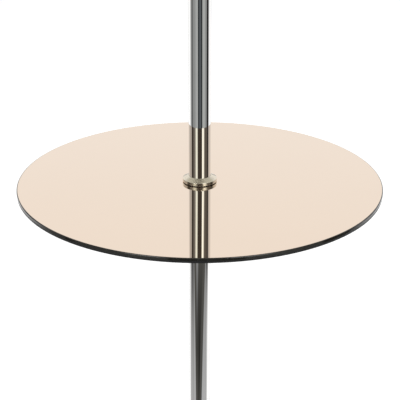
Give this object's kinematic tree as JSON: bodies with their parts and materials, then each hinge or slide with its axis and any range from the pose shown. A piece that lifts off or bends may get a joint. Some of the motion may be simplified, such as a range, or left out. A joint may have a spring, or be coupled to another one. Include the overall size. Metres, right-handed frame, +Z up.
{
  "type": "floor lamp with table",
  "caption": "Floor lamp with a round peach mirror table clamped part-way up its chrome pole, a round weighted base and a tapered drum shade on a harp.",
  "frame": {"origin": "centre of the base's underside, on the floor", "axes": "+Z up along the pole; the switch knob faces -Y and the cord inlet faces +Y"},
  "size_m": [0.4199, 0.42, 1.4532],
  "materials": {
    "chrome": "polished chrome plate on steel tube",
    "nickel": "turned and polished nickel plate, slightly warm",
    "peach_mirror": "peach tinted mirror glass with polished edge",
    "black_board": "black satin backing board",
    "black_rubber": "matt black rubber",
    "felt": "dense black felt",
    "cast_iron": "sand cast, black primer",
    "zinc_steel": "zinc plated",
    "harp_nickel": "satin nickel plated wire and strip",
    "brass": "plain brass",
    "socket_nickel": "bright nickel plated shell",
    "card_liner": "vulcanised fibre insulation",
    "phenolic": "black phenolic moulding",
    "black_knob": "moulded black knob",
    "nylon": "white nylon sleeve",
    "frosted_glass": "inside frosted bulb glass",
    "bulb_cap": "threaded bulb cap",
    "shade_linen": "off-white linen weave",
    "shade_styrene": "white styrene backing",
    "shade_tape": "self-coloured linen tape",
    "shade_steel": "white coated steel wire"
  },
  "bodies": {
    "stand": {"base_felt": "felt", "base_weight": "cast_iron", "base_cover": "chrome", "cord_grommet": "black_rubber", "base_washer": "zinc_steel", "base_lock_washer": "zinc_steel", "base_nut": "zinc_steel", "base_pipe": "zinc_steel", "foot_ring": "nickel", "lower_tube": "chrome", "lower_tube_foot_bush": "zinc_steel", "lower_tube_head_bush": "zinc_steel", "table_flange": "chrome", "table_flange_gasket": "black_rubber", "table_board": "black_board", "table_mirror": "peach_mirror", "table_sleeve": "nylon", "table_pipe": "zinc_steel", "table_ring_gasket": "black_rubber", "table_ring": "nickel", "upper_tube": "chrome", "upper_tube_foot_bush": "zinc_steel", "upper_tube_head_bush": "zinc_steel", "neck_cap": "chrome", "head_pipe": "zinc_steel", "harp_saddle": "harp_nickel", "harp": "harp_nickel", "harp_swivel": "brass", "socket_cap": "socket_nickel", "socket_shell": "socket_nickel", "socket_liner": "card_liner", "socket_body": "phenolic", "socket_terminals": "brass", "socket_screw_shell": "brass", "socket_contact": "brass", "bulb_glass": "frosted_glass", "bulb_cap": "bulb_cap", "bulb_insulator": "phenolic", "bulb_contact": "brass"},
    "shade": {"shade_fabric": "shade_linen", "shade_liner": "shade_styrene", "shade_top_ring": "shade_steel", "shade_bottom_ring": "shade_steel", "shade_top_trim": "shade_tape", "shade_bottom_trim": "shade_tape", "shade_spider": "shade_steel"},
    "finial": {"finial": "nickel"},
    "switch": {"switch_stem": "brass", "switch_knob": "black_knob"},
    "sleeve_left": {"harp_sleeve_left": "harp_nickel"},
    "sleeve_right": {"harp_sleeve_right": "harp_nickel"}
  },
  "joints": [
    {"name": "switch_turn", "type": "hinge", "parent": "stand", "child": "switch", "pos_m": [0, -0.02, 1.2083], "axis": [0, -1, 0], "continuous": true},
    {"name": "shade_turn", "type": "hinge", "parent": "stand", "child": "shade", "pos_m": [0, 0, 1.416], "axis": [0, 0, 1], "continuous": true},
    {"name": "finial_turn", "type": "hinge", "parent": "stand", "child": "finial", "pos_m": [0, 0, 1.4192], "axis": [0, 0, 1], "continuous": true},
    {"name": "left_sleeve_slide", "type": "slide", "parent": "stand", "child": "sleeve_left", "axis": [0, 0, 1], "range_m": [0, 0.012]},
    {"name": "right_sleeve_slide", "type": "slide", "parent": "stand", "child": "sleeve_right", "axis": [0, 0, 1], "range_m": [0, 0.012]}
  ]
}
